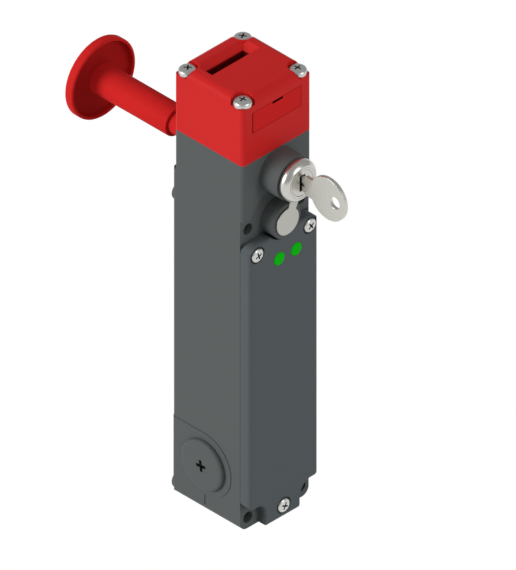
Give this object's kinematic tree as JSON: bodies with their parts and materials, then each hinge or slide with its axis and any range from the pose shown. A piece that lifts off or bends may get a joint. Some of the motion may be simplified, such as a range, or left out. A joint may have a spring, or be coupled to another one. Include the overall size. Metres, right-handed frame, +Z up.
{
  "type": "guard locking switch",
  "caption": "Slim safety interlock with guard locking, a rotating actuator head, a key release and a rear escape button.",
  "frame": {"origin": "centre of the bottom cable entry, in the plane of the housing's bottom face", "axes": "+X across the narrow front, -Y towards the front with the lock, +Z up along the housing to the actuator head"},
  "size_m": [0.045, 0.1476, 0.2167],
  "materials": {
    "grey_casting": "satin",
    "red_casting": "satin",
    "red_plastic": "gloss",
    "dark_plastic": "matte",
    "black_plastic": "matte",
    "white_plastic": "matte",
    "green_lens": "gloss",
    "nickel": "polished",
    "steel": "brushed",
    "cover_steel": "satin",
    "zinc_screw": "satin",
    "copper_wire": "lacquered",
    "brass": "satin",
    "rubber": "matte",
    "circuit_board": "satin"
  },
  "bodies": {
    "housing": {"housing_body": "grey_casting", "front_lid": "grey_casting", "lid_gasket": "rubber", "lid_screws": "zinc_screw", "led_lens_left": "green_lens", "led_lens_right": "green_lens", "led_board": "circuit_board", "actuator_head": "red_casting", "head_gasket": "rubber", "head_screws": "zinc_screw", "front_slot_blank": "red_plastic", "rotor_axle": "steel", "guard_contact_block": "black_plastic", "lock_contact_block": "black_plastic", "solenoid_yoke": "steel", "solenoid_pole": "steel", "solenoid_bobbin": "white_plastic", "solenoid_coil": "copper_wire", "bolt_spring": "steel", "terminal_strip": "white_plastic", "terminal_screws": "zinc_screw", "lock_barrel": "nickel", "lock_nut": "brass", "cover_rivet": "cover_steel", "escape_bush": "brass", "plug_left": "dark_plastic", "plug_right": "dark_plastic", "plug_seal_left": "rubber", "plug_seal_right": "rubber"},
    "rotor": {"head_rotor": "steel"},
    "bolt": {"locking_bolt": "steel", "solenoid_armature": "steel", "lock_monitor_arm": "black_plastic"},
    "tappet": {"guard_tappet": "steel"},
    "core": {"lock_core": "nickel", "lock_cam": "steel"},
    "key": {"key": "nickel"},
    "cover": {"release_cover": "cover_steel"},
    "spindle": {"aux_release_spindle": "brass", "spindle_seal": "rubber"},
    "escape": {"escape_rod": "red_plastic", "escape_clip": "steel", "escape_knob": "red_plastic"}
  },
  "joints": [
    {"name": "rotor_turn", "type": "hinge", "parent": "housing", "child": "rotor", "pos_m": [0, 0, 0.19555], "axis": [-1, 0, 0], "range_deg": [0, 60]},
    {"name": "bolt_slide", "type": "slide", "parent": "housing", "child": "bolt", "axis": [0, 0, 1], "range_m": [0, 0.005], "deforming": ["bolt_spring"]},
    {"name": "guard_tappet_slide", "type": "slide", "parent": "housing", "child": "tappet", "axis": [0, 0, 1], "range_m": [0, 0.003]},
    {"name": "lock_core_turn", "type": "hinge", "parent": "housing", "child": "core", "pos_m": [0, -0.03, 0.1747], "axis": [0, -1, 0], "range_deg": [0, 90]},
    {"name": "key_slide", "type": "slide", "parent": "core", "child": "key", "axis": [0, -1, 0], "range_m": [0, 0.026]},
    {"name": "cover_swing", "type": "hinge", "parent": "housing", "child": "cover", "pos_m": [0.0054, -0.0261, 0.1624], "axis": [0, -1, 0], "range_deg": [0, 90]},
    {"name": "aux_release_turn", "type": "hinge", "parent": "housing", "child": "spindle", "pos_m": [0, -0.02, 0.1509], "axis": [0, -1, 0], "range_deg": [0, 90]},
    {"name": "escape_push", "type": "slide", "parent": "housing", "child": "escape", "axis": [0, -1, 0], "range_m": [0, 0.006], "stiffness_N_per_m": 500}
  ],
  "couplings": [
    {"joint": "rotor_turn", "follows": "bolt_slide", "rad_per_m": 209.4},
    {"joint": "guard_tappet_slide", "follows": "bolt_slide", "ratio": 0.5995}
  ]
}
